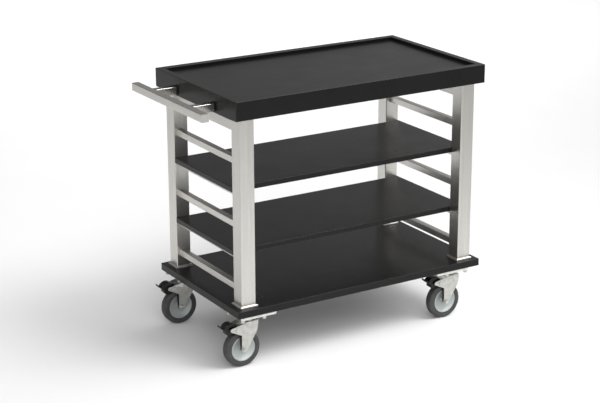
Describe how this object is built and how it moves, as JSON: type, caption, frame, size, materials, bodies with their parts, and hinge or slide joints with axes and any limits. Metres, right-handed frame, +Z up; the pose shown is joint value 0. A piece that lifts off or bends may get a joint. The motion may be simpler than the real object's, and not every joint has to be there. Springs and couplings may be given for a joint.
{
  "type": "serving trolley",
  "caption": "Serving trolley with a sunk black top tray and black shelves in a square-tube steel frame, a push handle at one end and braked swivel castors.",
  "frame": {"origin": "on the floor under the middle of the whole trolley, its handle included", "axes": "+X along the length, away from the push handle; +Y from the front to the rear; +Z up"},
  "size_m": [1.052, 0.542, 0.892],
  "materials": {
    "black_board": "black laminated board, satin",
    "stainless_steel": "brushed along its length",
    "zinc_steel": "zinc plated, satin",
    "black_plastic": "moulded, satin",
    "wheel_hub": "light grey moulded nylon",
    "tyre": "dark grey rubber"
  },
  "bodies": {
    "trolley_frame": {"base_board": "black_board", "castor_bearing_rings": "zinc_steel", "castor_front_left_plate": "zinc_steel", "castor_front_right_plate": "zinc_steel", "castor_kingpins": "zinc_steel", "castor_rear_left_plate": "zinc_steel", "castor_rear_right_plate": "zinc_steel", "castor_studs": "zinc_steel", "foot_plates": "stainless_steel", "handle_arm_front": "stainless_steel", "handle_arm_rear": "stainless_steel", "handle_bar": "stainless_steel", "handle_bolts": "zinc_steel", "handle_end_caps": "stainless_steel", "handle_spacers": "black_plastic", "left_lower_rail": "stainless_steel", "left_middle_rail": "stainless_steel", "left_top_rail": "stainless_steel", "left_upper_rail": "stainless_steel", "leg_front_left": "stainless_steel", "leg_front_right": "stainless_steel", "leg_rear_left": "stainless_steel", "leg_rear_right": "stainless_steel", "lower_shelf": "black_board", "lower_shelf_bearers": "stainless_steel", "right_lower_rail": "stainless_steel", "right_middle_rail": "stainless_steel", "right_top_rail": "stainless_steel", "right_upper_rail": "stainless_steel", "tray_deck": "black_board", "tray_front_board": "black_board", "tray_left_board": "black_board", "tray_rear_board": "black_board", "tray_right_board": "black_board", "upper_shelf": "black_board", "upper_shelf_bearers": "stainless_steel"},
    "castor_front_left": {"castor_front_left_fork": "zinc_steel", "castor_front_left_axle": "zinc_steel", "castor_front_left_pedal_pin": "zinc_steel"},
    "wheel_front_left": {"castor_front_left_hub": "wheel_hub", "castor_front_left_tyre": "tyre"},
    "pedal_front_left": {"castor_front_left_pedal": "black_plastic"},
    "castor_front_right": {"castor_front_right_fork": "zinc_steel", "castor_front_right_axle": "zinc_steel", "castor_front_right_pedal_pin": "zinc_steel"},
    "wheel_front_right": {"castor_front_right_hub": "wheel_hub", "castor_front_right_tyre": "tyre"},
    "pedal_front_right": {"castor_front_right_pedal": "black_plastic"},
    "castor_rear_left": {"castor_rear_left_fork": "zinc_steel", "castor_rear_left_axle": "zinc_steel", "castor_rear_left_pedal_pin": "zinc_steel"},
    "wheel_rear_left": {"castor_rear_left_hub": "wheel_hub", "castor_rear_left_tyre": "tyre"},
    "pedal_rear_left": {"castor_rear_left_pedal": "black_plastic"},
    "castor_rear_right": {"castor_rear_right_fork": "zinc_steel", "castor_rear_right_axle": "zinc_steel", "castor_rear_right_pedal_pin": "zinc_steel"},
    "wheel_rear_right": {"castor_rear_right_hub": "wheel_hub", "castor_rear_right_tyre": "tyre"},
    "pedal_rear_right": {"castor_rear_right_pedal": "black_plastic"}
  },
  "joints": [
    {"name": "front_left_swivel", "type": "hinge", "parent": "trolley_frame", "child": "castor_front_left", "pos_m": [-0.3655, -0.217, 0.155], "axis": [0, 0, 1], "continuous": true},
    {"name": "front_left_roll", "type": "hinge", "parent": "castor_front_left", "child": "wheel_front_left", "pos_m": [-0.3875, -0.217, 0.0625], "axis": [0, 1, 0], "continuous": true},
    {"name": "front_left_brake", "type": "hinge", "parent": "castor_front_left", "child": "pedal_front_left", "pos_m": [-0.41332, -0.217, 0.13345], "axis": [0, -1, 0], "range_deg": [0, 20]},
    {"name": "front_right_swivel", "type": "hinge", "parent": "trolley_frame", "child": "castor_front_right", "pos_m": [0.4345, -0.217, 0.155], "axis": [0, 0, 1], "continuous": true},
    {"name": "front_right_roll", "type": "hinge", "parent": "castor_front_right", "child": "wheel_front_right", "pos_m": [0.4125, -0.217, 0.0625], "axis": [0, 1, 0], "continuous": true},
    {"name": "front_right_brake", "type": "hinge", "parent": "castor_front_right", "child": "pedal_front_right", "pos_m": [0.38668, -0.217, 0.13345], "axis": [0, -1, 0], "range_deg": [0, 20]},
    {"name": "rear_left_swivel", "type": "hinge", "parent": "trolley_frame", "child": "castor_rear_left", "pos_m": [-0.3655, 0.217, 0.155], "axis": [0, 0, 1], "continuous": true},
    {"name": "rear_left_roll", "type": "hinge", "parent": "castor_rear_left", "child": "wheel_rear_left", "pos_m": [-0.3875, 0.217, 0.0625], "axis": [0, 1, 0], "continuous": true},
    {"name": "rear_left_brake", "type": "hinge", "parent": "castor_rear_left", "child": "pedal_rear_left", "pos_m": [-0.41332, 0.217, 0.13345], "axis": [0, -1, 0], "range_deg": [0, 20]},
    {"name": "rear_right_swivel", "type": "hinge", "parent": "trolley_frame", "child": "castor_rear_right", "pos_m": [0.4345, 0.217, 0.155], "axis": [0, 0, 1], "continuous": true},
    {"name": "rear_right_roll", "type": "hinge", "parent": "castor_rear_right", "child": "wheel_rear_right", "pos_m": [0.4125, 0.217, 0.0625], "axis": [0, 1, 0], "continuous": true},
    {"name": "rear_right_brake", "type": "hinge", "parent": "castor_rear_right", "child": "pedal_rear_right", "pos_m": [0.38668, 0.217, 0.13345], "axis": [0, -1, 0], "range_deg": [0, 20]}
  ]
}
